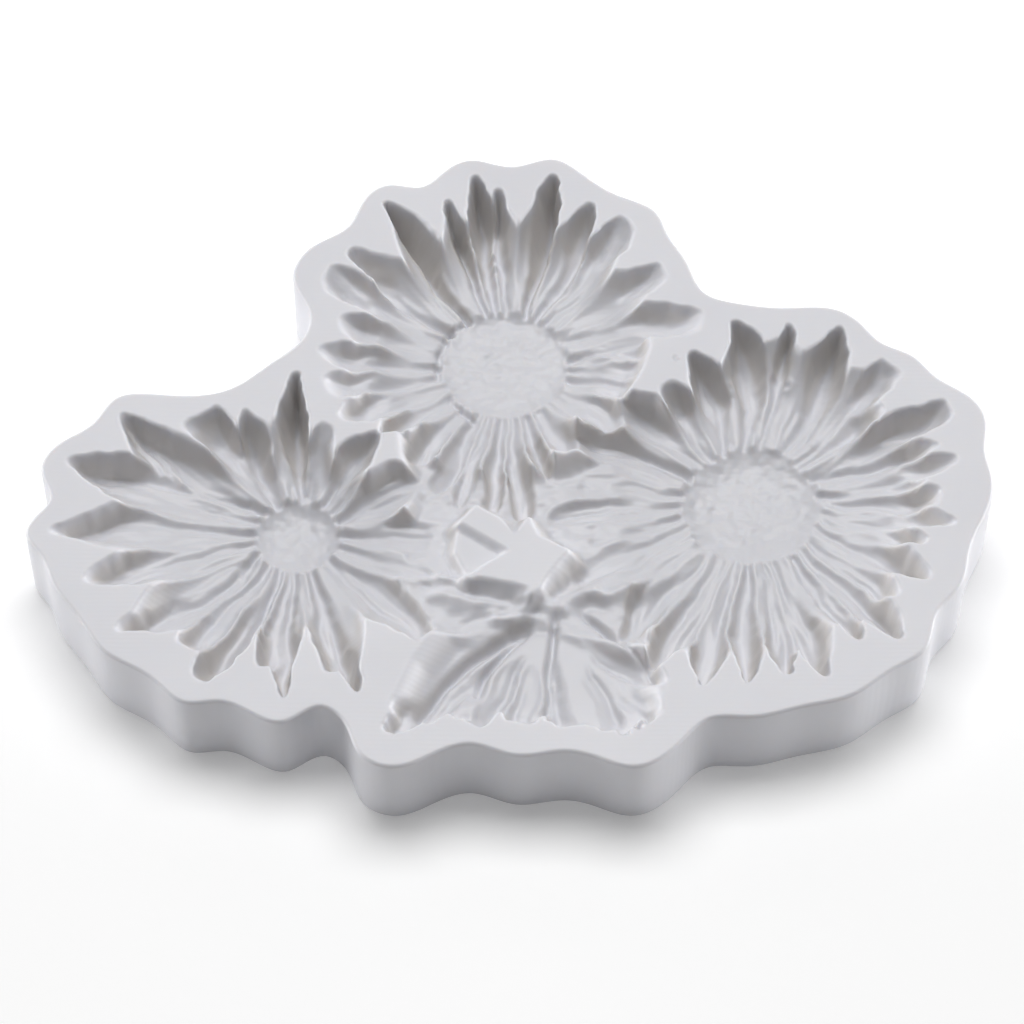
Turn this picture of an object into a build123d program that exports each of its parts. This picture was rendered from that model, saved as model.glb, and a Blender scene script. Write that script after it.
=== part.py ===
from build123d import *

# Silicone soap mould: one thick, soft casting with a scalloped edge. Three daisy heads and a
# leaf spray are sunk into its top. Millimetres, +Z up, origin at the middle of the flat underside,
# +X along the length, +Y towards the back, where the upper flower is.

import os
from math import cos, radians, sin

# Slab
THICKNESS = 12.0
RIM_RADIUS = 0.5
CLEARANCE_ABOVE = 1.0  # how far every cutter stands out of the top face

# Depth of the relief below the top face
PETAL_DEPTH = 6.0
DISC_DEPTH = 7.2
LEAF_DEPTH = 5.4
LEAF_BED_DEPTH = 4.4
GROUND_DEPTH = 4.0

# The shape of one petal groove, as shares of its length, width and depth
BASE_WIDTH_SHARE = 0.7
SHOULDER_AT = 0.62
FLOOR_END_AT = 0.86
FLOOR_END_DEPTH_SHARE = 0.72
FLOOR_WIDTH_SHARE = 0.6
POINTED_TIP_SHARE = 0.12
BLUNT_TIP_SHARE = 0.6

# The dish that lowers the ridges between petals around each disc
DISH_DEPTH = 4.6
DISH_REACH = 9.0  # how far the dish runs out past the disc at the top face

# Crests and dips of the outer edge, clockwise from the back
OUTLINE = [
    (-5.5, 46.7), (0, 45.6), (5.3, 46.9), (10, 43.8), (14.2, 40.7), (19, 37.9), (20.5, 34.2),
    (22.8, 29.8), (25.2, 24.5), (29, 23), (35.5, 22.2), (42, 21.9), (45, 19.8), (47.6, 16.6),
    (51.5, 14.5), (54.4, 11.1), (58.5, 8), (60.3, 4.3), (59.9, -0.3), (60.5, -5), (59.3, -10),
    (57.1, -15), (55.6, -20.6), (52.4, -24.8), (50.8, -29.8), (46.5, -33), (41.5, -36.6),
    (35, -38.4), (29, -39.8), (24, -40), (20.5, -43.2), (14.5, -46.8), (10.3, -45.5),
    (6.5, -44.6), (0.5, -45.2), (-5, -43.6), (-9.5, -45), (-14.5, -46.8), (-18.3, -45),
    (-20.5, -40.2), (-23.2, -38.3), (-27.7, -40.5), (-32, -39), (-35.5, -37.6), (-39.5, -37.8),
    (-44, -34.2), (-50, -30.3), (-53.2, -25.7), (-57, -20.1), (-58.6, -16.3), (-60.6, -13),
    (-59.3, -10), (-58, -8), (-59.3, -3.5), (-57.5, 0.6), (-53.3, 3.8), (-50.4, 7.9),
    (-46.5, 8.5), (-41, 8.2), (-36, 9.3), (-31, 13.3), (-26.8, 17.6), (-26.3, 21.5),
    (-28.5, 26.7), (-26.4, 32), (-21.6, 35.5), (-19.2, 40.6), (-16.4, 42.5), (-12, 42.2),
    (-9, 44.8),
]

# Each flower: the middle of its disc, the disc's radius, and its petals as
# (heading in degrees from +X, reach from the middle, width, tip), anticlockwise from +X.
SHARP, BLUNT = POINTED_TIP_SHARE, BLUNT_TIP_SHARE
BACK_FLOWER = ((-1, 16.6), 8.3, [
    (7, 26, 5.6, BLUNT), (29, 24, 5.6, BLUNT), (50, 25.6, 6, BLUNT), (64, 25.4, 4.8, SHARP),
    (76.4, 28.1, 5.6, SHARP), (92, 25.2, 3.2, SHARP), (98, 27.5, 3.8, SHARP),
    (108, 24.4, 3.6, SHARP), (125, 27.6, 6, SHARP), (143.5, 24.8, 5.8, SHARP),
    (154.5, 26, 5, BLUNT), (172, 21.6, 5, SHARP), (184, 24, 5.2, SHARP), (198, 23.8, 5, BLUNT),
    (210, 24, 5.4, SHARP), (221, 21, 5, SHARP), (235, 22, 4.6, SHARP), (246, 24, 5.6, SHARP),
    (255, 26, 3.8, SHARP), (266, 26.5, 3.4, SHARP), (276, 28, 4, SHARP), (286, 21, 3.4, SHARP),
    (297, 19, 4.6, BLUNT), (321, 19.5, 6.4, SHARP), (335, 17, 4.4, BLUNT), (355, 20, 5, BLUNT),
])
RIGHT_FLOWER = ((30.2, -5.6), 8.7, [
    (4, 25, 5, SHARP), (14.8, 24.7, 5.4, SHARP), (25, 28.4, 6, BLUNT), (40, 26, 7, BLUNT),
    (64.2, 27.3, 6.2, SHARP), (77.3, 25.4, 4.6, SHARP), (92.7, 25.4, 7, SHARP),
    (109, 21.7, 6.8, SHARP), (124, 19, 5.4, BLUNT), (141, 23, 5.8, SHARP), (160, 26.3, 7.4, SHARP),
    (174, 24, 6, BLUNT), (187, 27.4, 7, BLUNT), (198, 25, 5, BLUNT), (210, 27, 7.4, BLUNT),
    (233, 28.5, 6.8, SHARP), (243, 30.5, 6.8, SHARP), (256, 30.5, 5.6, SHARP),
    (267, 29, 5.6, SHARP), (277, 28, 6, SHARP), (286.5, 29, 6.4, SHARP), (299.5, 26, 5, SHARP),
    (308, 28.8, 6.4, SHARP), (317, 24, 5.2, SHARP), (327, 25.7, 6, SHARP),
    (338.5, 23.3, 4.4, SHARP), (347.4, 25.8, 5, SHARP), (354.8, 23.3, 5.2, BLUNT),
])
LEFT_FLOWER = ((-27, -10.1), 5.3, [
    (351, 18.8, 8, BLUNT), (21, 19.9, 6.6, SHARP), (39, 9.8, 5.4, SHARP), (51.2, 16.4, 6.4, SHARP),
    (75, 14, 5, SHARP), (90.8, 22.1, 4, SHARP), (103, 16, 4.6, BLUNT), (114.7, 17.5, 5.6, SHARP),
    (130.4, 20, 10, BLUNT), (145.3, 27.4, 8.4, SHARP), (164.2, 30.5, 8, SHARP),
    (185, 30.9, 7.4, SHARP), (200.8, 27.8, 7, SHARP), (218, 27.5, 8.4, SHARP),
    (237, 23, 6.5, BLUNT), (246, 26.4, 7.4, SHARP), (262, 22.5, 6.5, BLUNT),
    (267.4, 26.7, 4.6, SHARP), (283.8, 23.4, 6.4, BLUNT), (288.3, 27, 5, SHARP),
    (314, 24.3, 8.4, BLUNT), (333, 21, 7, BLUNT),
])
FLOWERS = [BACK_FLOWER, RIGHT_FLOWER, LEFT_FLOWER]

# The leaf spray fans out from a hub to the front rim, in a sunken bed with this outline.
# Its lobes are (heading, reach from the hub, width, tip).
LEAF_HUB = (5.5, -22.6)
LEAF_LOBES = [
    (196, 17.5, 4.4, SHARP), (212, 21, 6.5, BLUNT), (224.5, 28.4, 7.5, SHARP), (238, 20, 6.5, BLUNT),
    (255, 18, 6.5, BLUNT), (275, 18, 6.5, BLUNT), (291, 20, 6.5, BLUNT), (304, 22, 6.5, BLUNT),
    (316, 20, 5.5, SHARP), (331, 15, 5, SHARP),
]
LEAF_BED = [
    (5.5, -22.4), (-3, -23.4), (-9, -25.6), (-12.6, -31), (-15, -37), (-15.5, -41.7),
    (-12.5, -41.2), (-8, -39.8), (-3, -39.4), (4, -39.6), (9, -40.4), (14, -41.6), (17, -40),
    (19, -36), (18, -31), (13, -26.5),
]

# The low ground between the flowers and the spray, and the flat island left standing in it
GROUND = [
    (-15, 4), (-4, 0), (5, 0), (16, 5), (18, -6), (17, -16), (18, -30), (8, -29), (-8, -28.5),
    (-18, -25), (-16, -16), (-14, -6),
]
ISLAND = [
    (-4.5, -8.8), (-1.6, -10.6), (0.3, -13), (2.1, -10.6), (3.2, -13.2), (5, -14.3), (7.1, -15.5),
    (3.4, -20.6), (2.5, -20.9), (-5.2, -19.3), (-3.2, -17.6), (-0.3, -15.6), (-6.6, -11.3),
]


def slab():
    """The silicone block with its scalloped wall and softly rounded top edge."""
    edge = Spline(*OUTLINE, periodic=True)
    block = extrude(make_face(edge), THICKNESS)
    return fillet(block.faces().sort_by(Axis.Z)[-1].edges(), RIM_RADIUS)


def groove(base, tip, width, depth, tip_share):
    """A boat-shaped cutter from base to tip: deepest at its base, rising to the top face."""
    base, tip = Vector(*base), Vector(*tip)
    along = tip - base
    across = Vector(-along.Y, along.X).normalized() * (width / 2)

    def station(share_along, share_across, below_top):
        middle = base + along * share_along
        level = Vector(0, 0, THICKNESS - below_top)
        return [middle + across * side * share_across + level for side in (-1, 1)]

    top_outline = [(0, BASE_WIDTH_SHARE), (SHOULDER_AT, 1), (1, tip_share)]
    corners = []
    for share_along, share_across in top_outline:
        corners += station(share_along, share_across, 0)
        corners += station(share_along, share_across, -CLEARANCE_ABOVE)
    corners += station(0, BASE_WIDTH_SHARE * FLOOR_WIDTH_SHARE, depth)
    corners += station(FLOOR_END_AT, tip_share * FLOOR_WIDTH_SHARE, depth * FLOOR_END_DEPTH_SHARE)
    return ConvexPolyhedron(corners)


def disc_and_dish(middle, radius):
    """Two cutters: the round seed disc, and the flared dish that opens above it."""
    disc = Cylinder(radius, DISC_DEPTH + CLEARANCE_ABOVE, align=(Align.CENTER, Align.CENTER, Align.MIN))
    disc = Pos(*middle, THICKNESS - DISC_DEPTH) * disc
    flare_height = DISH_DEPTH + CLEARANCE_ABOVE
    flare_reach = DISH_REACH * flare_height / DISH_DEPTH
    dish = Cone(radius, radius + flare_reach, flare_height, align=(Align.CENTER, Align.CENTER, Align.MIN))
    return [disc, Pos(*middle, THICKNESS - DISH_DEPTH) * dish]


def spokes(middle, radius, petals, depth):
    """A groove for each petal or lobe, from the hub's edge out to its tip."""
    grooves = []
    for heading, reach, width, tip_share in petals:
        direction = Vector(cos(radians(heading)), sin(radians(heading)))
        base = Vector(*middle) + direction * radius
        tip = Vector(*middle) + direction * reach
        grooves.append(groove((base.X, base.Y), (tip.X, tip.Y), width, depth, tip_share))
    return grooves


def sunken_patch(outline, depth):
    """A flat-floored patch below the top face."""
    floor = Pos(0, 0, THICKNESS - depth) * make_face(Polyline(*outline, close=True))
    return extrude(floor, depth + CLEARANCE_ABOVE)


def island():
    """The flat piece at rim height between the flowers."""
    footing = Pos(0, 0, THICKNESS - DISC_DEPTH) * make_face(Polyline(*ISLAND, close=True))
    return extrude(footing, DISC_DEPTH)


def mould_body():
    """The whole mould: the slab with the flowers and the leaf spray cut into its top."""
    cutters = [sunken_patch(GROUND, GROUND_DEPTH), sunken_patch(LEAF_BED, LEAF_BED_DEPTH)]
    cutters += spokes(LEAF_HUB, 0, LEAF_LOBES, LEAF_DEPTH)
    for middle, radius, petals in FLOWERS:
        cutters += disc_and_dish(middle, radius)
        cutters += spokes(middle, radius * 0.8, petals, PETAL_DEPTH)
    return slab() - cutters + island()


os.makedirs("parts", exist_ok=True)
export_step(mould_body(), "parts/mould_body.step")
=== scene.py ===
"""Looks of the silicone soap mould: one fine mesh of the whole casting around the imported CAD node.

The relief is a depth field over a plan grid, in mm below the rim, made of the same flowers and leaf
spray as the CAD part. The code works in mm with +Y to the back; the mesh is scaled to metres last.
"""

from dataclasses import dataclass
from itertools import count
from math import cos, pi, radians, sin

import bpy
import numpy as np
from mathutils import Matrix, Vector
from mathutils.geometry import delaunay_2d_cdt


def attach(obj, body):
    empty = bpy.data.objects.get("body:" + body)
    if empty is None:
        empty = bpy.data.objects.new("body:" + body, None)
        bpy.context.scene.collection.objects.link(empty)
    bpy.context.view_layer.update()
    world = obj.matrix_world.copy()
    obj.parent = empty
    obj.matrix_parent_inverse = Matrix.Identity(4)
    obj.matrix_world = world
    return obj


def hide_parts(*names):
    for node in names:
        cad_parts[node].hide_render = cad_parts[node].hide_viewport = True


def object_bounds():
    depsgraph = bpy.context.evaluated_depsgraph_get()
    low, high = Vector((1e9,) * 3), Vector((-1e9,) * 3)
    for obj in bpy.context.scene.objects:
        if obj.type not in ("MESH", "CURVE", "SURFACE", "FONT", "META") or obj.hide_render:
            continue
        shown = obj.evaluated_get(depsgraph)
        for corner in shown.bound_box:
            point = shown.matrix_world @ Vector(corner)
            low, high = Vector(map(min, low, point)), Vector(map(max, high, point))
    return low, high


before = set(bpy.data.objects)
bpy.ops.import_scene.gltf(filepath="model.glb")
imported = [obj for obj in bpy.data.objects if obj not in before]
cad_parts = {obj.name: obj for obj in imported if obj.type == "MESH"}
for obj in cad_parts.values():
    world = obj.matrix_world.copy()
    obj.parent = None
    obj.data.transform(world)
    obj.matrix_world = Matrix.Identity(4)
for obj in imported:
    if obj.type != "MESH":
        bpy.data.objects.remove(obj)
cad_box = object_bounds()

# ---------------------------------------------------------------- measures in mm

MM = 0.001
THICKNESS = round(cad_box[1][2] / MM, 3)
RIM_RADIUS = 0.5
FOOT_RADIUS = 0.3
RIM_MARGIN = 0.3  # flat strip that is kept between the relief and the rounded edge
WALL_HEIGHTS = (8, 4)  # of the rings between the rounded edge and the foot
EDGE_STEP = 0.6  # between two points of a ring
EDGE_TURN = 15  # degrees between two rings of the rounded edge
FOOT_TURN = 30  # degrees between two rings of the foot
SPLINE_STEP = 0.1

CELL = 0.26  # of the relief's plan grid
HALF_X, HALF_Y = 61.6, 48.4  # half the size of that grid, which reaches a little past the casting
X, Y = np.meshgrid(np.arange(-HALF_X, HALF_X + CELL / 2, CELL), np.arange(-HALF_Y, HALF_Y + CELL / 2, CELL))

# ---------------------------------------------------------------- noise

LATTICE = 64  # units of u and v after which the noise repeats
RIDGE_LEVEL = 0.33  # about the mean of folded noise, so that ridges leave the mean depth as it is
SWAY, SWAY_LENGTH = 0.4, 3.5  # mm by which lines and edges wander slowly, and over which they turn
WAVER = 0.14  # mm by which edges wander on top of that


def smoothstep(low, high, value):
    """0 below low, 1 above high, smooth between."""
    share = np.clip((value - low) / (high - low), 0, 1)
    return share * share * (3 - 2 * share)


def smooth_max(a, b, blend):
    """The larger of two depths, with the crease where they meet rounded over blend mm."""
    share = np.clip(0.5 + 0.5 * (a - b) / blend, 0, 1)
    return b * (1 - share) + a * share + blend * share * (1 - share)


def noise(u, v, seed):
    """Smooth noise from -1 to 1 with features about one unit of u and v across."""
    lattice = np.random.default_rng(seed).uniform(-1, 1, (LATTICE, LATTICE))
    cell_u, cell_v = np.floor(u).astype(int), np.floor(v).astype(int)
    share_u, share_v = smoothstep(0, 1, u - cell_u), smoothstep(0, 1, v - cell_v)
    corners = [[lattice[(cell_u + a) % LATTICE, (cell_v + b) % LATTICE] for b in (0, 1)] for a in (0, 1)]
    low = corners[0][0] * (1 - share_v) + corners[0][1] * share_v
    high = corners[1][0] * (1 - share_v) + corners[1][1] * share_v
    return low * (1 - share_u) + high * share_u


def waves(layers):
    """mm of unevenness over the plan: each layer is its height, its waves per mm in X and Y, its seed."""
    return sum(height * noise(X * per_x, Y * per_y, seed) for height, per_x, per_y, seed in layers)


def ridge(height, u, v, seed):
    """mm of fine ridges of about one unit of u and v, on the whole as high as they are deep."""
    return height * (RIDGE_LEVEL - np.abs(noise(u, v, seed)))


# The grid with its points swayed, for lines and edges that aren't quite straight
SWAY_X = X + SWAY * noise(X / SWAY_LENGTH, Y / SWAY_LENGTH, 901)
SWAY_Y = Y + SWAY * noise(X / SWAY_LENGTH, Y / SWAY_LENGTH, 902)
WAVY_X = SWAY_X + WAVER * noise(X, Y, 903)
WAVY_Y = SWAY_Y + WAVER * noise(X, Y, 904)

# ---------------------------------------------------------------- the flowers and the leaf spray


@dataclass(frozen=True)
class Petal:
    heading: float  # degrees anticlockwise from +X, from the disc's middle to the tip
    reach: float  # mm from the disc's middle to the tip
    width: float  # mm across its widest
    depth: float = 5.8  # mm below the rim along its floor
    end: float = 7.0  # mm over which the floor curves up to the tip
    tip: float = 0.1  # share of the width left at the tip: 0.1 is sharp, 0.6 blunt
    lean: float = 0.0  # degrees by which it leaves the disc anticlockwise of its heading
    bow: float = 0.0  # mm by which its middle line bows to its left
    tilt: float = 0.0  # share by which its left side is deeper than its right
    fill: float = 1.45  # how much of its share of the circle it fills near the disc
    wall: float = 0.9  # 0.5 for a steep wall at the tip, 1 for a slope
    crown: float = 0.0  # mm by which its middle line stands above its sides


@dataclass(frozen=True)
class Flower:
    middle: tuple  # X and Y of the disc's middle
    radius: float  # mm, of the disc
    petals: tuple  # anticlockwise
    dish: float = 4.9  # mm below the rim in the dish that the petals share
    dish_share: float = 0.86  # how far towards the tips the dish reaches between two petals
    dish_curve: float = 3.5  # more for a flatter dish with a steeper edge
    roundness: float = 1.6  # 1 for straight-sided tips, more for rounded ones
    fuzz: float = 0.05  # share by which the disc's edge wanders
    bowl: float = 4.0  # 2 for a round bowl, more for a flat floor with a steep edge
    grain: float = 0.12  # mm of mottling on the disc
    floor: float = 6.6  # mm below the rim in the middle of the disc


RIM_OF_DISC = 5.3  # mm below the rim at the edge of a disc, where the petals start

BACK_FLOWER = Flower((-1, 16.6), 8.3, (
    Petal(7, 26, 5.6, tip=0.55, lean=17, end=6, bow=0.5, depth=3.4, wall=1.1),
    Petal(29, 24, 5.4, tip=0.6, lean=3, depth=3.3, end=7, fill=1.1, wall=1.1),
    Petal(50, 25.6, 5.5, tip=0.6, lean=-2, depth=3.9, end=7, fill=1, wall=1.1),
    Petal(64, 25.4, 4.3, tip=0.2, lean=-2, bow=-0.6, depth=5.4, end=6, tilt=-0.3, fill=0.95, wall=0.7),
    Petal(76.4, 28.1, 4.9, tip=0.15, lean=-2, depth=7, end=7, tilt=-0.4, fill=0.9, wall=0.5),
    Petal(92, 25.2, 2.6, tip=0.2, lean=-4, depth=6, end=6, fill=0.9, wall=0.7),
    Petal(98, 27.5, 3.5, tip=0.2, lean=3, depth=7.7, end=7, fill=1, wall=0.5),
    Petal(108, 24.4, 2.8, tip=0.2, lean=4, bow=-0.3, depth=5.7, end=5, tilt=-0.3, fill=0.9, wall=0.7),
    Petal(125, 27.6, 4.4, tip=0.1, lean=-2, depth=5.4, bow=-0.8, end=6, tilt=0.8, fill=0.95, wall=0.6),
    Petal(143.5, 24.8, 4.6, tip=0.3, lean=-2, depth=4, tilt=0.7, end=6, fill=1, wall=0.8),
    Petal(154.5, 26, 5, tip=0.6, lean=4, depth=3.2, end=7, bow=0.6, wall=1.1),
    Petal(172, 21.6, 5, tip=0.3, lean=-2, depth=3.1, bow=0.6, end=5, wall=1.2),
    Petal(184, 24, 5.2, tip=0.15, depth=3.1, bow=0.7, end=6, wall=1.2),
    Petal(198, 23.8, 5, tip=0.5, lean=-2, depth=3, end=5, wall=1.2),
    Petal(210, 24, 5.4, tip=0.3, lean=-2, depth=3.8, end=5, wall=1.1),
    Petal(221, 21, 5, lean=-1, depth=4.6, end=3),
    Petal(235, 22, 4.6, lean=-2, depth=5.1, end=4),
    Petal(246, 24, 5.6, tip=0.3, tilt=0.4, depth=5.4, end=4),
    Petal(255, 26, 3.8, depth=5.2, end=4),
    Petal(266, 26.5, 3.4, tip=0.3, depth=5.6, end=4),
    Petal(276, 28, 4, tip=0.2, lean=2, depth=6.1, end=4),
    Petal(286, 21, 3.4, tip=0.3, depth=5.4, end=4),
    Petal(297, 19, 4.6, tip=0.6, lean=2, depth=4.7, end=3),
    Petal(321, 19.5, 6.4, tip=0.3, lean=-2, depth=4.6, end=3),
    Petal(337, 17.6, 6, tip=0.8, lean=3, depth=4.1, end=2),
    Petal(348, 18, 6, tip=0.8, lean=4, depth=3.9, end=2),
    Petal(359, 18.4, 6, tip=0.8, lean=4, depth=3.8, end=2),
), fuzz=0, bowl=12, grain=0.14, floor=5.9, dish_share=0.76, dish_curve=3, roundness=2)

RIGHT_FLOWER = Flower((30.2, -5.6), 8.7, (
    Petal(2, 22, 4.6, lean=6, depth=3.9, end=4),
    Petal(8, 26.2, 5, tip=0.3, depth=3.5, end=5),
    Petal(14.8, 24.7, 5.4, lean=9, depth=4.8),
    Petal(25, 28.4, 6, tip=0.5, depth=4.1, lean=2),
    Petal(38, 21, 6.4, tip=0.8, depth=5.4, end=4, lean=2),
    Petal(44, 26, 7, tip=0.7, depth=3.7, end=6),
    Petal(64.2, 27.3, 6.4, bow=-1.1, lean=-7, depth=6.4, end=7, fill=1.1, wall=0.5),
    Petal(77.3, 25.4, 3.8, depth=5.2, end=5, fill=0.6, wall=0.5),
    Petal(92.7, 25.4, 6.8, bow=-1.4, lean=-3, depth=6.6, end=7, fill=1, wall=0.6),
    Petal(109, 21.7, 6.6, bow=-0.8, lean=3, depth=6.1, end=6, fill=1.05, wall=0.5),
    Petal(124, 19, 5.4, depth=4.6, end=4, tip=0.5),
    Petal(141, 23, 5.8, lean=-4, depth=5.2),
    Petal(160, 26.3, 7.4, lean=-4, depth=4.8, tilt=-0.3),
    Petal(174, 24, 6, depth=3.9, lean=-2, end=3, tip=0.4),
    Petal(187, 27.4, 7, depth=4.5, lean=-3, end=3, tip=0.4, tilt=0),
    Petal(198, 23.5, 5, depth=4.0, lean=-2, end=3, tip=0.5),
    Petal(210, 27, 7.4, lean=-4, depth=4.4, end=3, tip=0.4, tilt=0),
    Petal(233, 28.5, 6.8, lean=-4, end=4, tilt=0, depth=5),
    Petal(243, 30.5, 6.8, lean=2, end=5, depth=5.3),
    Petal(256, 30.5, 5.6, end=4, depth=5.6),
    Petal(267, 29, 5.6, end=4),
    Petal(277, 28, 6, end=4, depth=5.7),
    Petal(286.5, 29, 6.4, lean=2, end=4, depth=5.6),
    Petal(299.5, 26, 5, depth=4.9, end=4),
    Petal(308, 28.8, 6.4, lean=3, end=4, depth=5.1),
    Petal(317, 24, 5.2, lean=6, depth=4.5, end=4),
    Petal(327, 25.7, 6, lean=8, end=4, depth=4.6),
    Petal(338.5, 23.3, 4.4, lean=6, depth=3.9, end=4),
    Petal(347.4, 25.8, 5, lean=2, depth=3.6, end=5),
    Petal(354.8, 23.3, 5.2, tip=0.5, lean=7, depth=4.7, end=4),
))

LEFT_FLOWER = Flower((-27, -10.1), 5.3, (
    Petal(351, 18.8, 8, tip=0.7, depth=4.2, end=4, tilt=0),
    Petal(21, 19.9, 6.6, depth=3.3, end=4, tip=0.1, tilt=0.1),
    Petal(39, 11, 5.4, end=4, depth=4.2, tip=0.3),
    Petal(51.2, 16.4, 6.4, end=5, depth=3.6, tip=0.1, tilt=0.1),
    Petal(75, 14, 5, end=6, depth=3.8, tip=0.3, wall=1.2),
    Petal(90.8, 22.1, 4, end=6, depth=7.6, bow=0.8, tilt=-0.3, wall=0.5),
    Petal(103, 15, 4.6, end=7, depth=4.2, tip=0.3, wall=1.2),
    Petal(114.7, 17.5, 5.6, end=6, depth=5.6, tilt=0.3),
    Petal(130.4, 20, 11, tip=0.7, end=4, depth=4.3, lean=-4, tilt=-0.2),
    Petal(145.3, 27.4, 9.6, end=6, tip=0.05, depth=4, bow=2.6, tilt=-0.2),
    Petal(164.2, 30.5, 10, end=6, tip=0.05, depth=4.4, bow=0.5, tilt=-0.2),
    Petal(185, 30.9, 9.4, end=6, tip=0.05, depth=3.3, tilt=-0.15),
    Petal(200.8, 27.8, 8.4, tip=0.1, end=5, tilt=-0.15, depth=3.6),
    Petal(218, 27.5, 9.4, end=4, tip=0.05, bow=2.6, depth=4, tilt=-0.2),
    Petal(237, 23, 6.5, tip=0.5, end=4, depth=4.4),
    Petal(246, 26.4, 7.4, end=4, tip=0.3, tilt=0.3, depth=5.4),
    Petal(262, 22.5, 6.5, end=4, tip=0.4, depth=5.7),
    Petal(267.4, 26.7, 4.6, end=5, depth=6.6),
    Petal(283.8, 23.4, 6.4, end=3, tip=0.5, depth=5.0),
    Petal(288.3, 27, 5, end=4, depth=5.9),
    Petal(314, 24.3, 8.4, end=3, tip=0.4, lean=-4, depth=4.9),
    Petal(333, 21, 7, end=3, tip=0.4, depth=3.7),
), dish=4.6, dish_share=0.7, dish_curve=4, roundness=1.1)
FLOWERS = (BACK_FLOWER, RIGHT_FLOWER, LEFT_FLOWER)

LEAF_HUB = (5.5, -22.6)
LEAVES = (
    Petal(207, 17.5, 6.5, depth=3.8, end=9, tip=0.4, tilt=0.2, crown=0.8, wall=1.4),
    Petal(224.5, 28, 6, depth=4.6, end=7, bow=-0.6, tilt=0.4, crown=1.2),
    Petal(239, 20.5, 7, depth=5, end=3, tip=0.5, bow=-0.8, tilt=0.2, crown=1.6),
    Petal(256, 18.5, 7, depth=4.8, end=3, tip=0.6, crown=1.6),
    Petal(275, 18.5, 7, depth=4.8, end=3, tip=0.6, tilt=-0.2, crown=1.6),
    Petal(291, 20, 7, depth=4.8, end=3, tip=0.5, crown=1.6),
    Petal(305, 21, 6.5, depth=4.4, end=6, tip=0.4, crown=1.4, wall=1.2),
    Petal(318, 18, 5.5, depth=4.4, end=6, bow=-1, tilt=-0.3, crown=1, wall=1.2),
    Petal(335, 13, 5, depth=3.4, end=6, crown=0.6, wall=1.4),
)
LEAF_BED = ((5.5, -22.4), (-3, -23.4), (-9, -25.6), (-12.6, -31), (-15, -37), (-15.5, -41.7), (-12.5, -41.2),
            (-8, -39.8), (-3, -39.4), (4, -39.6), (9, -40.4), (14, -41.6), (17, -40), (19, -36), (18, -31),
            (13, -26.5))
LEAF_BED_DEPTH = 3
LEAF_HUB_DEPTH = 2.2
LEAF_HUB_RADIUS = 0.5
LEAF_ROUNDNESS = 1.8  # as a flower's

# The low ground between the three flowers and the spray, and the flat piece left standing in it
GROUND = ((-15, 4), (-4, 0), (5, 0), (16, 5), (18, -6), (17, -16), (18, -30), (8, -29), (-8, -28.5),
          (-18, -25), (-16, -16), (-14, -6))
GROUND_DEPTH = 3.6
GROUND_BY_HUB = 2.8
ISLAND = ((-4.5, -8.8), (-1.6, -10.6), (0.3, -13), (2.1, -10.6), (3.2, -13.2), (5, -14.3), (7.1, -15.5),
          (3.4, -20.6), (2.5, -20.9), (-5.2, -19.3), (-3.2, -17.6), (-0.3, -15.6), (-6.6, -11.3))
ISLAND_STEP = ((-6.6, -11.3), (-0.3, -15.6), (-3.2, -17.6), (-5.2, -19.3), (-7.2, -15))
ISLAND_STEP_DEPTH = 1.1
ISLAND_WALL = 1.8  # mm down for each mm out

# Creases cut deeper (positive) and crests left higher (negative): points, mm of change, mm of breadth
STROKES = (
    (((5.4, -22.5), (4.8, -28), (4.4, -33), (4.3, -37.6)), 1.6, 0.32),
    (((3.6, -23.6), (-0.5, -28.4), (-3.2, -32.2), (-4.4, -35)), 1.6, 0.4),
    (((3, -23.8), (-4, -29.2), (-8.2, -33.8), (-11.4, -38)), 2, 0.65),
    (((7.2, -22.8), (10.5, -25.2), (13, -27.4), (15.4, -30.2), (17.2, -33.5)), 1.6, 0.4),
    (((-9, -25.4), (-5, -24.2), (0, -23.5), (3, -23.5)), 0.5, 0.3),
    (((3.2, -18.6), (3, -21.5), (1.4, -23.4), (-2, -24.2)), -1.1, 0.9),
    (((-12, -19.6), (-4.4, -22.2), (0.7, -22), (6, -23)), -1, 0.9),
    (((-15, -16.7), (-13, -17.8), (-9, -18.2), (-5, -20)), -1.2, 0.7),
    (((5, -22), (9, -20.8), (12.2, -21.2), (16.5, -19), (20.6, -16.1), (23, -13.3)), -1.2, 0.9),
    (((-4, 25), (-8.4, 21.6), (-9.4, 18.6), (-9.4, 15)), 1.3, 0.26),
    (((-8.8, 12.4), (-7.4, 9.9), (-5, 7.9)), 1.2, 0.26),
)
BUBBLES = ((21, 14, 0.7), (28.2, 11.6, 0.45), (35.4, 12, 0.6), (10.6, -20, 0.5), (38.7, 3.6, 0.25))

# ---------------------------------------------------------------- distances


def from_segment(x, y, start, end):
    """Distance of each point from one straight segment."""
    (ax, ay), (bx, by) = start, end
    dx, dy = bx - ax, by - ay
    share = np.clip(((x - ax) * dx + (y - ay) * dy) / (dx * dx + dy * dy), 0, 1)
    return np.hypot(x - ax - share * dx, y - ay - share * dy)


def from_line(x, y, points):
    """Distance of each point from the open line through the given ones."""
    return np.min([from_segment(x, y, start, end) for start, end in zip(points, points[1:])], 0)


def inside_polygon(x, y, corners):
    """True for each point inside a closed outline."""
    inside = np.zeros(x.shape, bool)
    for (ax, ay), (bx, by) in zip(corners, np.roll(corners, -1, 0)):
        if ay != by:
            inside ^= ((ay > y) != (by > y)) & (x < (bx - ax) * (y - ay) / (by - ay) + ax)
    return inside


def from_polygon(corners):
    """Distance of each grid point from a closed outline, negative inside it."""
    distance = from_line(X, Y, corners + corners[:1])
    return np.where(inside_polygon(X, Y, corners), -distance, distance)


# ---------------------------------------------------------------- one boat-shaped hollow

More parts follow.
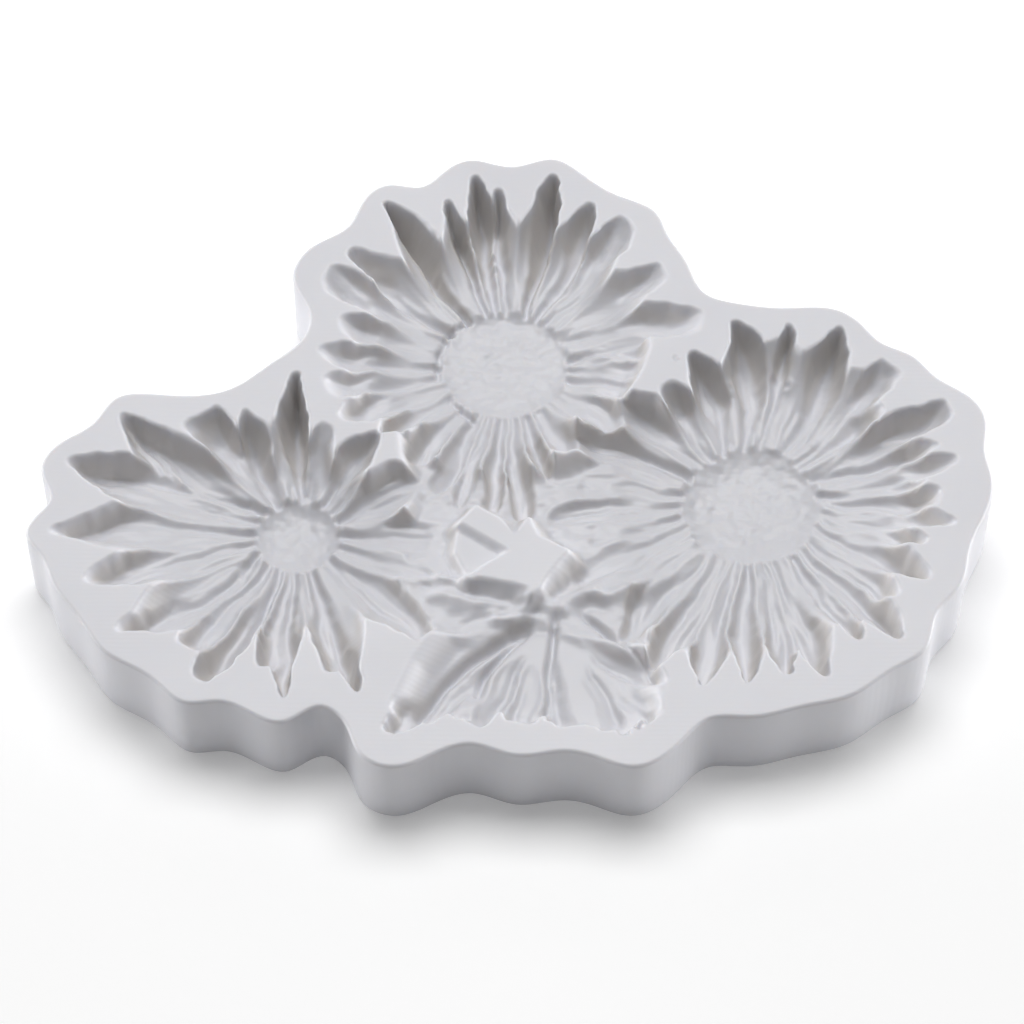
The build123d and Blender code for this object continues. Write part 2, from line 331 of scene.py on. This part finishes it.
HUB_GAP = 0.3  # mm from the middle inside which a hollow's sector narrows no further
WIDTH_BLEND = 1.2  # mm over which the sector's width gives way to the hollow's own
CLOSING_FROM, CLOSING_OVER = 0.55, 0.45  # shares of the length where it starts to close, and till the tip
EDGE_WAVER, EDGE_WAVES = 0.18, 0.9  # mm by which an edge wanders, waves per mm
EDGE_WAVER_GROWS = (0.1, 0.4)  # shares of the length between which it comes in
LEFT_ROW, RIGHT_ROW = 5.5, 9.5  # rows of the noise that the two edges follow
THINNEST = 0.05  # mm, so that nothing is divided by a width of 0
WINDOW_MARGIN = 1

FLOOR_FALLS = 0.6  # share of the length over which the floor reaches its own depth
TIP_CURVE = 2.2  # more for a floor that stays deep for longer before the tip
BACK_TILT = 0.14  # share by which a hollow that runs sideways is deeper at the back
OWN_TILT, OWN_TILT_TURN = 0.1, 2.4  # a tilt that varies from one hollow to the next
SECTION_CURVE = 3.2  # 2 for a round trough, more for a flat floor between steep sides
SIDE_CHANGE, SIDE_CHANGE_RATE = 1.4, 3  # more of that at the deep side and less at the shallow one
CREASE, CREASE_AT, CREASE_BREADTH = 0.22, 0.8, 0.11  # a fold along the deep side, in shares
CREASE_GROWS = (0.1, 0.5)

# Layers of ribs: mm of height, how many per mm across and along, seed
RIBS = ((0.9, 0.8, 0.06, 300), (0.4, 1.7, 0.1, 400), (0.25, 3.1, 0.15, 600))
RIB_DRIFT, RIB_DRIFT_ALONG, RIB_DRIFT_ACROSS, RIB_DRIFT_SEED = 0.8, 0.12, 0.2, 500
RIBS_START, RIBS_END = (-0.1, 0.03), (0.8, 1)  # shares of the length between which they come and go
RIBS_SIDE_CURVE = 4  # more for ribs that keep their height nearer to the sides
RIBS_ON_CROWN = 0.5  # share of their height that is left on a crowned leaf
CROWN_GROWS = (0, 0.3)
BEHIND_BASE = 0.2  # share of the hub's radius by which a hollow reaches back under it


def window_around(base, tip, margin):
    """Rows and columns of the grid that hold a hollow."""
    low, high = np.minimum(base, tip) - margin, np.maximum(base, tip) + margin
    columns = slice(*np.searchsorted(X[0], (low[0], high[0])))
    rows = slice(*np.searchsorted(Y[:, 0], (low[1], high[1])))
    return rows, columns


def half_width(petal, radius, sector, run, share, side, seed, roundness):
    """Half the hollow's width: its sector near the hub, then its own width, closing at the tip."""
    sector_half = petal.fill * sector / 2 * np.maximum(radius + run, HUB_GAP)
    half = -smooth_max(-sector_half, -petal.width / 2, WIDTH_BLEND)
    closing = np.clip((share - CLOSING_FROM) / CLOSING_OVER, 0, 1) ** roundness
    half = half * (1 - (1 - petal.tip) * closing)
    wander = noise(run * EDGE_WAVES, np.where(side > 0, LEFT_ROW, RIGHT_ROW), seed)
    return half + EDGE_WAVER * wander * smoothstep(*EDGE_WAVER_GROWS, share)


def cross_section(petal, tilt, across, share):
    """Share of the floor's depth across the hollow: a tilted trough, steeper and creased at its deep side."""
    deeper = np.sign(tilt) * across
    curve = SECTION_CURVE + SIDE_CHANGE * np.clip(SIDE_CHANGE_RATE * deeper, -1, 1)
    crease = CREASE * (petal.crown == 0) * smoothstep(*CREASE_GROWS, share)
    crease = crease * np.exp(-((deeper - CREASE_AT) / CREASE_BREADTH) ** 2)
    return (1 - np.abs(across) ** curve) * (1 + tilt * across + crease)


def ribbing(petal, run, share, side, across, toward_tip, seed):
    """mm by which the floor stands up in fine ribs along the hollow, and in a crown if it has one."""
    drift = RIB_DRIFT * noise(run * RIB_DRIFT_ALONG, side * RIB_DRIFT_ACROSS, seed + RIB_DRIFT_SEED)
    ribs = 0
    for height, per_across, per_along, shift in RIBS:
        ribs = ribs + ridge(height, side * per_across + drift, run * per_along, seed + shift)
    ribs = ribs * smoothstep(*RIBS_START, share) * (1 - smoothstep(*RIBS_END, share))
    ribs = ribs * (1 - across ** RIBS_SIDE_CURVE)
    if petal.crown > 0:
        ribs = ribs * RIBS_ON_CROWN
    return ribs + petal.crown * (1 - across * across) * smoothstep(*CROWN_GROWS, share) * (1 - toward_tip)


def spoke(middle, radius, petal, sector, base_depth, seed, roundness):
    """One boat-shaped hollow from a hub's edge to its tip: the window it touches, its depth there."""
    leave, arrive = radians(petal.heading + petal.lean), radians(petal.heading)
    base = np.array(middle, float) + radius * np.array((cos(leave), sin(leave)))
    tip = np.array(middle, float) + petal.reach * np.array((cos(arrive), sin(arrive)))
    length = np.hypot(*(tip - base))
    ahead, leftward = (tip - base) / length, np.array((base[1] - tip[1], tip[0] - base[0])) / length

    window = window_around(base, tip, petal.width + abs(petal.bow) + WINDOW_MARGIN)
    from_base_x, from_base_y = WAVY_X[window] - base[0], WAVY_Y[window] - base[1]
    run = from_base_x * ahead[0] + from_base_y * ahead[1]
    share = run / length
    side = from_base_x * leftward[0] + from_base_y * leftward[1] - petal.bow * 4 * share * (1 - share)
    half = half_width(petal, radius, sector, run, share, side, seed, roundness)
    across = np.clip(side / np.maximum(half, THINNEST), -1, 1)

    toward_tip = np.clip((run - (length - petal.end)) / petal.end, 0, 1)
    floor = base_depth + (petal.depth - base_depth) * smoothstep(0, FLOOR_FALLS, share)
    floor = floor * (1 - toward_tip ** TIP_CURVE) ** petal.wall
    tilt = petal.tilt + BACK_TILT * cos(arrive) + OWN_TILT * np.sin(seed * OWN_TILT_TURN)
    depth = floor * cross_section(petal, tilt, across, share)
    depth = depth - ribbing(petal, run, share, side, across, toward_tip, seed)
    inside = (share <= 1) & (np.abs(side) < half) & (run > -BEHIND_BASE * radius)
    return window, np.where(inside, np.maximum(depth, 0), 0)


NARROWEST_SECTOR, WIDEST_SECTOR = 8, 34  # degrees


def sectors(petals):
    """For each petal, in radians, half the angle between its two neighbours."""
    leave = [petal.heading + petal.lean for petal in petals]
    spans = []
    for i in range(len(leave)):
        span = (leave[(i + 1) % len(leave)] - leave[i - 1]) % 360
        spans.append(radians(min(max(span / 2, NARROWEST_SECTOR), WIDEST_SECTOR)))
    return spans


# ---------------------------------------------------------------- the whole relief

BLEND = 0.3  # mm over which the crease between two hollows is rounded
DISH_TO_TIP = 0.94  # share of a petal's reach that the dish has there
STREAKS = ((0.9, 64, 0.06, 81), (0.5, 128, 0.12, 82))  # mm, per half turn, per mm outward, seed
STREAK_BEND, STREAK_BEND_WAVES, STREAK_BEND_SEED = 0.04, 0.25, 80  # radians, waves per mm, seed
FUZZ_WAVES, FUZZ_START, FUZZ_SEED = 6, 40, 70  # waves per radian, the first one's place, seed
COARSE_GRAIN, FINE_GRAIN, FINE_GRAIN_SEED = 0.9, 2.1, 40  # waves per mm, waves per mm, seed

GROUND_WAVES = ((0.4, 0.3, 0.5, 71), (0.2, 0.8, 1.2, 72))
GROUND_EDGE = 3  # mm over which the ground slopes down from the rim
GROUND_RISES = (-13, -20)  # Y from which and to which the ground rises toward the hub
RAGGED_WAVES = ((0.9, 0.9, 0.9, 77), (0.4, 2.2, 2.2, 78))
RAGGED_FROM = (-37, -40)  # Y between which the bed's edge turns ragged
BED_EDGE, BED_EDGE_CHANGE = 4, 3  # mm over which the bed slopes down, and by how much less in front
BED_STEEPENS = (-36, -39)
ISLAND_ROUGHNESS, ISLAND_SEED = 0.15, 60
STROKE_FADE = 4  # mm over which a stroke comes in
BUBBLE_HEIGHT, BUBBLE_LIP = 0.4, 0.25


def lower(depth, new, window=(slice(None), slice(None))):
    """Sinks a window of the relief to the new depth, where that is lower."""
    old = depth[window]
    both = (old > 0) & (new > 0)
    depth[window] = np.where(both, smooth_max(old, new, BLEND), np.maximum(old, new))


def soften(depth, times):
    """Rounds creases and edges by averaging each point with its neighbours."""
    for _ in range(times):
        for axis in (0, 1):
            depth = 0.5 * depth + 0.25 * (np.roll(depth, 1, axis) + np.roll(depth, -1, axis))
    return depth


def low_ground():
    """Uneven ground between the flowers, shallower toward the spray's hub."""
    level = GROUND_DEPTH + (GROUND_BY_HUB - GROUND_DEPTH) * smoothstep(*GROUND_RISES, Y)
    return (level + waves(GROUND_WAVES)) * smoothstep(0, GROUND_EDGE, -from_polygon(GROUND))


def leaf_bed():
    """The bed of the leaf spray, with a steeper and ragged edge at the front."""
    inward_by = waves(RAGGED_WAVES) * smoothstep(*RAGGED_FROM, Y) - from_polygon(LEAF_BED)
    edge = BED_EDGE - BED_EDGE_CHANGE * smoothstep(*BED_STEEPENS, Y)
    return LEAF_BED_DEPTH * smoothstep(0, edge, inward_by)


def dish_edge(flower, turn):
    """How far the dish reaches at each angle, in radians: near each petal's tip, less between two."""
    headings, edges = [], []
    for petal, following in zip(flower.petals, flower.petals[1:] + flower.petals[:1]):
        gap = (following.heading - petal.heading) % 360
        headings += [petal.heading, petal.heading + gap / 2]
        edges += [DISH_TO_TIP * petal.reach, flower.dish_share * min(petal.reach, following.reach)]
    return np.interp(np.degrees(turn), headings, edges, period=360)


def dish(flower, from_middle, turn, seed):
    """The shared dish under a flower's petals, with streaks that run outward."""
    out = np.clip((from_middle - flower.radius) / (dish_edge(flower, turn) - flower.radius), 0, 1)
    bend = noise(X * STREAK_BEND_WAVES, Y * STREAK_BEND_WAVES, seed + STREAK_BEND_SEED)
    bent = turn + STREAK_BEND * bend
    streaks = 0
    for height, around, outward, shift in STREAKS:
        streaks = streaks + ridge(height, bent * around / pi, from_middle * outward, seed + shift)
    return np.maximum(flower.dish * (1 - out ** flower.dish_curve) - streaks * (1 - out), 0)


def seed_disc(flower, from_middle, turn, seed):
    """Where a flower's disc is, and its depth there: a flat bowl with mottling."""
    edge = flower.radius * (1 + flower.fuzz * noise(turn * FUZZ_WAVES + FUZZ_START, X * 0, seed + FUZZ_SEED))
    bowl = 1 - np.clip(from_middle / edge, 0, 1) ** flower.bowl
    coarse = noise(X * COARSE_GRAIN, Y * COARSE_GRAIN, seed)
    fine = noise(X * FINE_GRAIN, Y * FINE_GRAIN, seed + FINE_GRAIN_SEED)
    floor = RIM_OF_DISC + (flower.floor - RIM_OF_DISC) * bowl + flower.grain * (coarse + fine)
    return from_middle < edge, floor


def cut_spray(depth, seeds):
    """Cuts the leaf spray."""
    lower(depth, leaf_bed())
    for leaf, sector in zip(LEAVES, sectors(LEAVES)):
        size = (LEAF_HUB, LEAF_HUB_RADIUS, leaf, sector, LEAF_HUB_DEPTH)
        window, new = spoke(*size, next(seeds), LEAF_ROUNDNESS)
        lower(depth, new, window)


def cut_flower(depth, flower, seeds):
    """Cuts one flower: its dish, its petals, and its disc in place of what is there."""
    from_middle = np.hypot(X - flower.middle[0], Y - flower.middle[1])
    turn = np.arctan2(Y - flower.middle[1], X - flower.middle[0])
    lower(depth, dish(flower, from_middle, turn, next(seeds)))
    for petal, sector in zip(flower.petals, sectors(flower.petals)):
        size = (flower.middle, flower.radius, petal, sector, RIM_OF_DISC)
        window, new = spoke(*size, next(seeds), flower.roundness)
        lower(depth, new, window)
    inside, floor = seed_disc(flower, from_middle, turn, next(seeds))
    depth[inside] = floor[inside]


def with_island(depth):
    """The relief with the island and its lower step left standing."""
    rough = 1 + ISLAND_ROUGHNESS * noise(X, Y, ISLAND_SEED)
    for corners, level in ((ISLAND, 0), (ISLAND_STEP, ISLAND_STEP_DEPTH)):
        wall = ISLAND_WALL * np.maximum(from_polygon(corners), 0)
        depth = np.minimum(depth, level + wall * rough)
    return depth


def with_strokes(depth):
    """The relief with its creases and crests, each fading in from its first point."""
    for points, change, breadth in STROKES:
        start = smoothstep(0, STROKE_FADE, np.hypot(X - points[0][0], Y - points[0][1]))
        stroke = change * start * np.exp(-(from_line(SWAY_X, SWAY_Y, points) / breadth) ** 2)
        depth = np.where(depth > 0, np.maximum(depth + stroke, 0), depth)
    return depth


def with_bubbles(depth):
    """The relief with small moulding bubbles: a raised lip around a pit."""
    for x, y, radius in BUBBLES:
        near = np.hypot(X - x, Y - y)
        lip = BUBBLE_HEIGHT * np.exp(-((near - radius) / BUBBLE_LIP) ** 2)
        depth = depth - lip + BUBBLE_HEIGHT * np.exp(-(near / radius * 2) ** 2)
    return depth


def depth_field():
    """mm below the rim at each grid point."""
    depth = np.zeros_like(X)
    seeds = count(1)
    lower(depth, low_ground())
    cut_spray(depth, seeds)
    for flower in FLOWERS:
        cut_flower(depth, flower, seeds)
    depth = with_bubbles(with_strokes(with_island(depth)))
    return soften(np.maximum(depth, 0), 1)


# ---------------------------------------------------------------- the outer edge

# Crests and dips of the outer edge, clockwise from the back, as in the CAD part
OUTLINE = [
    (-5.5, 46.7), (0, 45.6), (5.3, 46.9), (10, 43.8), (14.2, 40.7), (19, 37.9), (20.5, 34.2),
    (22.8, 29.8), (25.2, 24.5), (29, 23), (35.5, 22.2), (42, 21.9), (45, 19.8), (47.6, 16.6),
    (51.5, 14.5), (54.4, 11.1), (58.5, 8), (60.3, 4.3), (59.9, -0.3), (60.5, -5), (59.3, -10),
    (57.1, -15), (55.6, -20.6), (52.4, -24.8), (50.8, -29.8), (46.5, -33), (41.5, -36.6),
    (35, -38.4), (29, -39.8), (24, -40), (20.5, -43.2), (14.5, -46.8), (10.3, -45.5),
    (6.5, -44.6), (0.5, -45.2), (-5, -43.6), (-9.5, -45), (-14.5, -46.8), (-18.3, -45),
    (-20.5, -40.2), (-23.2, -38.3), (-27.7, -40.5), (-32, -39), (-35.5, -37.6), (-39.5, -37.8),
    (-44, -34.2), (-50, -30.3), (-53.2, -25.7), (-57, -20.1), (-58.6, -16.3), (-60.6, -13),
    (-59.3, -10), (-58, -8), (-59.3, -3.5), (-57.5, 0.6), (-53.3, 3.8), (-50.4, 7.9),
    (-46.5, 8.5), (-41, 8.2), (-36, 9.3), (-31, 13.3), (-26.8, 17.6), (-26.3, 21.5),
    (-28.5, 26.7), (-26.4, 32), (-21.6, 35.5), (-19.2, 40.6), (-16.4, 42.5), (-12, 42.2),
    (-9, 44.8),
]


def spline_slopes(knots, gaps):
    """Slope at each knot of the smooth closed curve through them all."""
    before = np.roll(gaps, 1)
    matrix = np.zeros((len(knots), len(knots)))
    right = np.zeros((len(knots), 2))
    for i in range(len(knots)):
        following = (i + 1) % len(knots)
        matrix[i, i - 1] = gaps[i]
        matrix[i, i] = 2 * (gaps[i] + before[i])
        matrix[i, following] = before[i]
        forward = (knots[following] - knots[i]) / gaps[i]
        backward = (knots[i] - knots[i - 1]) / before[i]
        right[i] = 3 * (gaps[i] * backward + before[i] * forward)
    return np.linalg.solve(matrix, right)


def closed_spline(points, step):
    """Points about step apart along the smooth closed curve through the given ones."""
    knots = np.array(points, float)
    gaps = np.hypot(*(np.roll(knots, -1, 0) - knots).T)
    slopes = spline_slopes(knots, gaps)
    curve = []
    for i, gap in enumerate(gaps):
        following = (i + 1) % len(knots)
        for t in np.arange(0, 1, step / gap):
            place = knots[i] * (1 - 3 * t ** 2 + 2 * t ** 3) + knots[following] * (3 * t ** 2 - 2 * t ** 3)
            bend = slopes[i] * (t - 2 * t ** 2 + t ** 3) + slopes[following] * (t ** 3 - t ** 2)
            curve.append(place + gap * bend)
    return np.array(curve)


def evenly(points, step):
    """The same closed line with its points evenly spaced."""
    closed = np.vstack([points, points[:1]])
    run = np.concatenate([[0], np.cumsum(np.hypot(*np.diff(closed, axis=0).T))])
    at = np.linspace(0, run[-1], round(run[-1] / step), endpoint=False)
    return np.column_stack([np.interp(at, run, closed[:, axis]) for axis in (0, 1)])


def inward(points):
    """Unit normals that point into a clockwise closed line."""
    tangent = np.roll(points, -1, 0) - np.roll(points, 1, 0)
    tangent /= np.hypot(*tangent.T)[:, None]
    return np.column_stack([tangent[:, 1], -tangent[:, 0]])


def edge_profile():
    """How far in and how high each ring is: flat rim, rounded edge, wall, rounded foot."""
    profile = [(RIM_RADIUS + RIM_MARGIN, THICKNESS)]
    for angle in np.radians(np.arange(90, -1, -EDGE_TURN)):
        profile.append((RIM_RADIUS * (1 - cos(angle)), THICKNESS - RIM_RADIUS * (1 - sin(angle))))
    profile += [(0, height) for height in WALL_HEIGHTS]
    for angle in np.radians(np.arange(0, 91, FOOT_TURN)):
        profile.append((FOOT_RADIUS * (1 - cos(angle)), FOOT_RADIUS * (1 - sin(angle))))
    return profile


def edge_rings():
    """Rings of points down the outer wall, with the same count of points in each."""
    line = evenly(closed_spline(OUTLINE, SPLINE_STEP), EDGE_STEP)
    into = inward(line)
    rings = []
    for offset, height in edge_profile():
        ring = line + into * offset
        rings.append(np.column_stack([ring, np.full(len(ring), height)]))
    return rings


# ---------------------------------------------------------------- the mesh

SUNK_FROM = 0.01  # mm below the rim from which a grid point belongs to the relief
MERGE_WITHIN = 1e-7  # mm
SHADE_STEEP, SHADE_DEEP = (0.5, 2.2), (0.3, 2)  # slopes and depths over which the painted warm shade of the deep walls comes in
SLOPE_SOFTENING = 4  # times that the relief is averaged before its slope is taken


def relief_cells(depth):
    """True for each cell of the grid that the relief touches, and for the cells around those."""
    sunk = depth > SUNK_FROM
    touched = sunk[:-1, :-1] | sunk[1:, :-1] | sunk[:-1, 1:] | sunk[1:, 1:]
    spread = touched.copy()
    spread[1:] |= touched[:-1]
    spread[:-1] |= touched[1:]
    spread[:, 1:] |= spread[:, :-1].copy()
    spread[:, :-1] |= spread[:, 1:].copy()
    return spread


def cell_corners(cells):
    """True for each grid point at a corner of one of the cells."""
    rows, columns = cells.shape
    corners = np.zeros((rows + 1, columns + 1), bool)
    for up in (0, 1):
        for right in (0, 1):
            corners[up:rows + up, right:columns + right] |= cells
    return corners


def relief_quads(cells, index, heights):
    """One quad for each cell, started so that it is split along its flatter diagonal."""
    quads = np.column_stack([
        index[:-1, :-1][cells], index[:-1, 1:][cells], index[1:, 1:][cells], index[1:, :-1][cells],
    ])
    height = heights[quads]
    turned = np.abs(height[:, 0] - height[:, 2]) > np.abs(height[:, 1] - height[:, 3])
    quads[turned] = np.roll(quads[turned], -1, 1)
    return quads


def relief_border(cells, index):
    """Edges between a cell that is in the relief and one that is out, as pairs of points."""
    padded = np.pad(cells, 1)
    below, above = cells & ~padded[:-2, 1:-1], cells & ~padded[2:, 1:-1]
    left, right = cells & ~padded[1:-1, :-2], cells & ~padded[1:-1, 2:]
    return np.vstack([
        np.column_stack([index[:-1, :-1][below], index[:-1, 1:][below]]),
        np.column_stack([index[1:, :-1][above], index[1:, 1:][above]]),
        np.column_stack([index[:-1, :-1][left], index[1:, :-1][left]]),
        np.column_stack([index[:-1, 1:][right], index[1:, 1:][right]]),
    ])


def rim_triangles(points, cells, border_edges, first_ring, rim):
    """The flat rim between the relief and the innermost ring, whose first point is first_ring."""
    border = np.unique(border_edges)
    used = np.concatenate([border, np.arange(first_ring, first_ring + len(rim))])
    renumber = {int(old): new for new, old in enumerate(used)}
    edges = [(renumber[int(a)], renumber[int(b)]) for a, b in border_edges]
    edges += [(len(border) + i, len(border) + (i + 1) % len(rim)) for i in range(len(rim))]
    flat = [Vector(points[i][:2]) for i in used]
    places, _, triangles, origins, _, _ = delaunay_2d_cdt(flat, edges, [], 0, MERGE_WITHIN)

    middle = np.array([sum((places[i] for i in triangle), Vector((0, 0))) / 3 for triangle in triangles])
    column = np.clip(((middle[:, 0] + HALF_X) / CELL).astype(int), 0, cells.shape[1] - 1)
    row = np.clip(((middle[:, 1] + HALF_Y) / CELL).astype(int), 0, cells.shape[0] - 1)
    keep = inside_polygon(middle[:, 0], middle[:, 1], rim[:, :2]) & ~cells[row, column]
    point_of = [used[origin[0]] for origin in origins]
    return [tuple(point_of[i] for i in triangle) for triangle, good in zip(triangles, keep) if good]


def wall_faces(first_ring, ring_size, ring_count):
    """Quads between the rings of the outer wall, and the underside."""
    faces = []
    for ring in range(ring_count - 1):
        start = first_ring + ring * ring_size
        for i in range(ring_size):
            j = (i + 1) % ring_size
            faces.append((start + i, start + j, start + ring_size + j, start + ring_size + i))
    last = first_ring + (ring_count - 1) * ring_size
    return faces + [tuple(range(last, last + ring_size))]


def painted_shade_share(depth):
    """Share of painted warm shade: 0 on the rim and on flat floors, 1 on steep walls deep in the relief."""
    slope = np.hypot(*np.gradient(soften(depth, SLOPE_SOFTENING), CELL))
    return smoothstep(*SHADE_STEEP, slope) * smoothstep(*SHADE_DEEP, depth)


def mould_mesh():
    """The whole casting as one closed mesh, in metres."""
    depth = depth_field()
    cells = relief_cells(depth)
    corners = cell_corners(cells)
    index = np.full(depth.shape, -1)
    index[corners] = np.arange(corners.sum())
    relief = np.column_stack([X[corners], Y[corners], THICKNESS - depth[corners]])
    rings = edge_rings()
    points = np.vstack([relief, *rings])

    faces = [tuple(quad) for quad in relief_quads(cells, index, relief[:, 2]).tolist()]
    faces += rim_triangles(points, cells, relief_border(cells, index), len(relief), rings[0])
    faces += wall_faces(len(relief), len(rings[0]), len(rings))

    mesh = bpy.data.meshes.new("mould_silicone")
    mesh.from_pydata((points * MM).tolist(), [], faces)
    mesh.polygons.foreach_set("use_smooth", [True] * len(faces))
    # Painted warm shade on the steep walls deep in the relief, passed to the material as a point attribute
    painted_shade = np.zeros(len(points))
    painted_shade[:len(relief)] = painted_shade_share(depth)[corners]
    mesh.attributes.new("painted_shade", "FLOAT", "POINT").data.foreach_set("value", painted_shade)
    mesh.update()
    return mesh


# ---------------------------------------------------------------- the material


def silicone_colour(nodes, links, position):
    """A faintly cloudy pale grey, with painted warm shade on the steep walls deep in the relief."""
    cloud = nodes.new("ShaderNodeTexNoise")
    cloud.inputs["Scale"].default_value = 60
    cloud.inputs["Detail"].default_value = 4
    links.new(position, cloud.inputs["Vector"])
    tint = nodes.new("ShaderNodeValToRGB")
    tint.color_ramp.elements[0].color = (0.665, 0.665, 0.702, 1)
    tint.color_ramp.elements[0].position = 0.3
    tint.color_ramp.elements[1].color = (0.70, 0.70, 0.735, 1)
    tint.color_ramp.elements[1].position = 0.7
    links.new(cloud.outputs["Fac"], tint.inputs["Fac"])

    # Mask of the painted warm shade on the deep walls
    shade_mask = nodes.new("ShaderNodeAttribute")
    shade_mask.attribute_name = "painted_shade"
    painted_shade_mix = nodes.new("ShaderNodeMix")
    painted_shade_mix.data_type = "RGBA"
    # The warmer, darker colour painted on the deep walls as shade
    painted_shade_mix.inputs["B"].default_value = (0.67, 0.65, 0.64, 1)
    links.new(shade_mask.outputs["Fac"], painted_shade_mix.inputs["Factor"])
    links.new(tint.outputs["Color"], painted_shade_mix.inputs["A"])
    return painted_shade_mix.outputs["Result"]


def moulding_lines(nodes, links, position):
    """Fine lines along X, like those that cross the rim in the photo."""
    lines = nodes.new("ShaderNodeTexWave")
    lines.bands_direction = "Y"
    lines.inputs["Scale"].default_value = 480
    lines.inputs["Distortion"].default_value = 3
    lines.inputs["Detail"].default_value = 3
    lines.inputs["Detail Scale"].default_value = 0.4
    links.new(position, lines.inputs["Vector"])
    relief = nodes.new("ShaderNodeBump")
    relief.inputs["Strength"].default_value = 0.12
    relief.inputs["Distance"].default_value = 0.00004
    links.new(lines.outputs["Fac"], relief.inputs["Height"])
    return relief.outputs["Normal"]


def silicone():
    """Pale grey silicone rubber: satin and slightly translucent."""
    material = bpy.data.materials.new("silicone")
    material.use_nodes = True
    nodes, links = material.node_tree.nodes, material.node_tree.links
    shader = nodes["Principled BSDF"]
    shader.inputs["Roughness"].default_value = 0.42
    shader.inputs["Subsurface Weight"].default_value = 0.2
    shader.inputs["Subsurface Radius"].default_value = (1.0, 0.75, 0.55)
    shader.inputs["Subsurface Scale"].default_value = 0.0015
    position = nodes.new("ShaderNodeNewGeometry").outputs["Position"]
    links.new(silicone_colour(nodes, links, position), shader.inputs["Base Color"])
    links.new(moulding_lines(nodes, links, position), shader.inputs["Normal"])
    return material


def mould():
    """The visible mould, which stands for the CAD node."""
    piece = bpy.data.objects.new("mould_silicone", mould_mesh())
    bpy.context.scene.collection.objects.link(piece)
    piece.data.materials.append(silicone())
    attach(piece, "root")
    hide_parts("mould_body")


# ---------------------------------------------------------------- the stage, in metres and watts

FLOOR_HALF = 3.0
FLOOR_GLOW = 0.16
SURROUND_GLOW = 0.13
SOFTBOXES = (  # name, place, what it is aimed at, width and height, power
    ("light_top", (0, 0.32, 0.88), (0, 0, 0), (0.8, 0.5), 7.1),
    ("light_left", (-0.8, 0.2, 0.07), (0, 0, 0.01), (0.6, 0.08), 4),
    ("light_right", (0.8, 0.2, 0.045), (0, 0, 0.01), (0.6, 0.05), 5),
    ("light_back", (0, 0.9, 0.4), (0, 0, 0), (1.2, 0.5), 0.8),
)
EYE = (0, -0.2895, 0.4265)
LOOKED_AT = (0, -0.0099, THICKNESS * MM)
LENS, SENSOR = 140.6, 36  # mm of the camera
FAR_CLIP = 20


def studio_floor():
    """A plain pale floor that glows a little."""
    half = FLOOR_HALF
    mesh = bpy.data.meshes.new("floor")
    corners = [(-half, -half, 0), (half, -half, 0), (half, half, 0), (-half, half, 0)]
    mesh.from_pydata(corners, [], [(0, 1, 2, 3)])
    floor = bpy.data.objects.new("floor", mesh)
    bpy.context.scene.collection.objects.link(floor)
    material = bpy.data.materials.new("floor_white")
    material.use_nodes = True
    shader = material.node_tree.nodes["Principled BSDF"]
    shader.inputs["Base Color"].default_value = (0.95, 0.95, 0.95, 1)
    shader.inputs["Roughness"].default_value = 0.9
    shader.inputs["Emission Color"].default_value = (1, 1, 1, 1)
    shader.inputs["Emission Strength"].default_value = FLOOR_GLOW
    mesh.materials.append(material)


def aim(thing, place, target):
    """Stands a light or camera at its place and turns it to the target."""
    thing.location = place
    thing.rotation_euler = (Vector(target) - Vector(place)).to_track_quat("-Z", "Y").to_euler()
    bpy.context.scene.collection.objects.link(thing)


def softbox(name, place, target, size, power):
    """A soft rectangular studio light."""
    light = bpy.data.lights.new(name, "AREA")
    light.shape = "RECTANGLE"
    light.size, light.size_y = size
    light.energy = power
    aim(bpy.data.objects.new(name, light), place, target)


def studio():
    """Soft light from above, behind and both sides, and a pale surround."""
    for light in SOFTBOXES:
        softbox(*light)
    world = bpy.data.worlds.new("studio")
    bpy.context.scene.world = world
    world.use_nodes = True
    surround = world.node_tree.nodes["Background"]
    surround.inputs["Color"].default_value = (1, 1, 1, 1)
    surround.inputs["Strength"].default_value = SURROUND_GLOW
    bpy.context.scene.view_settings.view_transform = "Standard"


def camera():
    """The viewpoint: from the front, 56 degrees above the horizon, with a long lens."""
    data = bpy.data.cameras.new("camera")
    data.sensor_width = SENSOR
    data.lens = LENS
    data.clip_end = FAR_CLIP
    eye = bpy.data.objects.new("camera", data)
    aim(eye, EYE, LOOKED_AT)
    bpy.context.scene.camera = eye


camera()
studio_floor()
studio()
mould()
